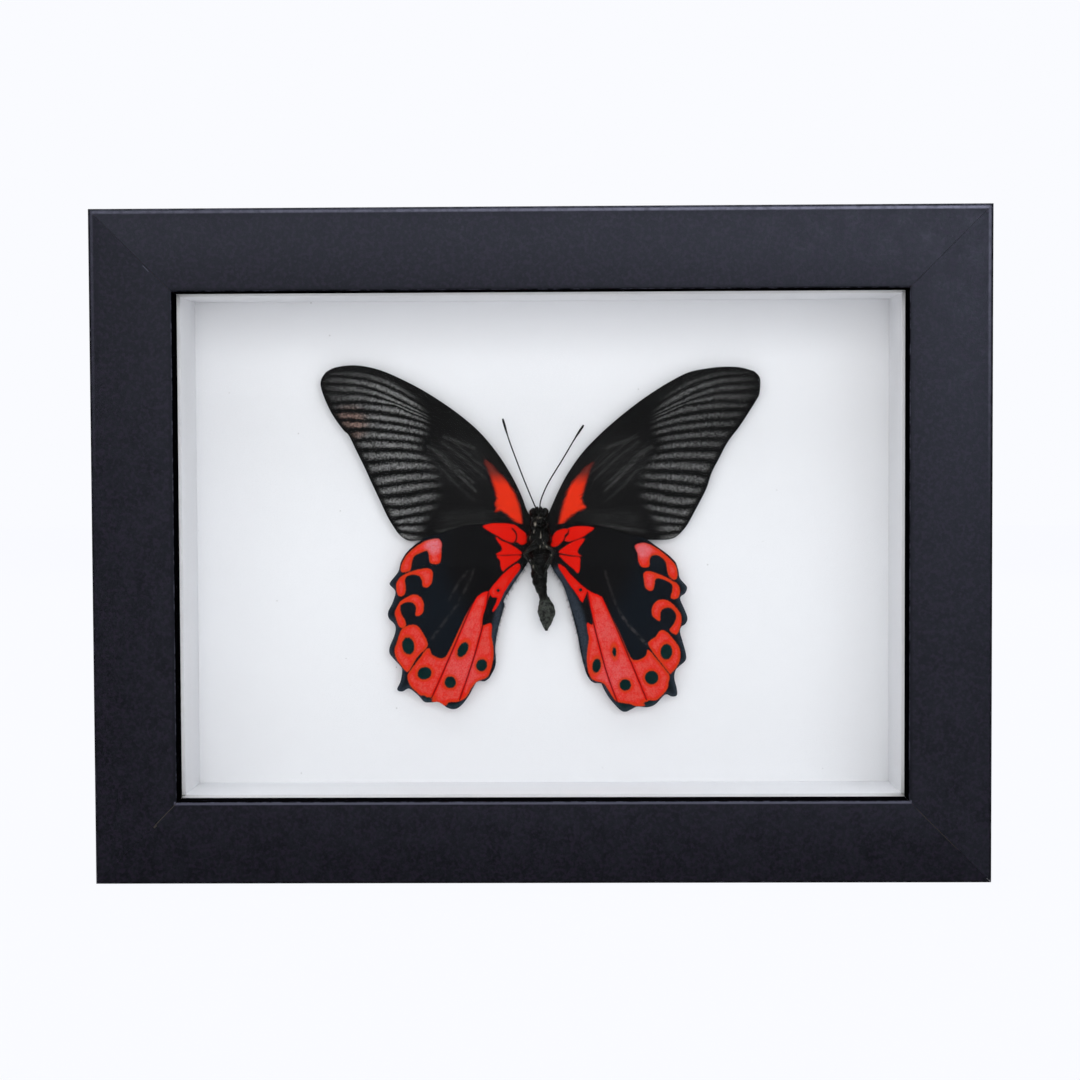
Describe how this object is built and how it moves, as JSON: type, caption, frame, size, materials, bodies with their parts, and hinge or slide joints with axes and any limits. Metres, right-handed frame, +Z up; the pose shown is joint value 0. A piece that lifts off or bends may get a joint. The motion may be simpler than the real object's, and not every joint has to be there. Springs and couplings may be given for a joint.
{
  "type": "framed butterfly specimen",
  "caption": "Small black box frame with a glass front, holding a spread swallowtail butterfly on a white board with its underside to the viewer.",
  "frame": {"origin": "middle of the frame's foot, on the surface that it stands on", "axes": "+X to the right seen from the front, +Y from the glass to the back, +Z up"},
  "size_m": [0.206, 0.0367, 0.155],
  "materials": {
    "black_foil": "satin black foil over a wood fibre core",
    "window_glass": "clear, flat, polished",
    "white_foam_board": "matt white paper face",
    "white_mount_board": "matt white paper board",
    "brown_hardboard": "smooth brown fibre board",
    "zinc_plated_steel": "zinc plated",
    "clear_glue": "clear dried glue",
    "dark_chitin": "dark brown and black, part glossy, part hairy",
    "black_wing_scales": "velvety black scales with grey rays",
    "red_wing_scales": "velvety black scales with red patches"
  },
  "bodies": {
    "root": {"rail_top": "black_foil", "rail_bottom": "black_foil", "stile_left": "black_foil", "stile_right": "black_foil", "glass_pane": "window_glass", "spacer_top": "white_foam_board", "spacer_bottom": "white_foam_board", "spacer_left": "white_foam_board", "spacer_right": "white_foam_board", "mount_board": "white_mount_board", "backing_board": "brown_hardboard", "tab_top_left": "zinc_plated_steel", "tab_top_right": "zinc_plated_steel", "tab_bottom_left": "zinc_plated_steel", "tab_bottom_right": "zinc_plated_steel", "tab_left": "zinc_plated_steel", "tab_right": "zinc_plated_steel", "hanger": "zinc_plated_steel", "hanger_nail_left": "zinc_plated_steel", "hanger_nail_right": "zinc_plated_steel", "glue_dab": "clear_glue", "butterfly_body": "dark_chitin", "antenna_left": "dark_chitin", "antenna_right": "dark_chitin", "leg_front_left": "dark_chitin", "leg_front_right": "dark_chitin", "leg_middle_left": "dark_chitin", "leg_middle_right": "dark_chitin", "leg_hind_left": "dark_chitin", "leg_hind_right": "dark_chitin", "forewing_left": "black_wing_scales", "forewing_right": "black_wing_scales", "hindwing_left": "red_wing_scales", "hindwing_right": "red_wing_scales"}
  },
  "joints": []
}
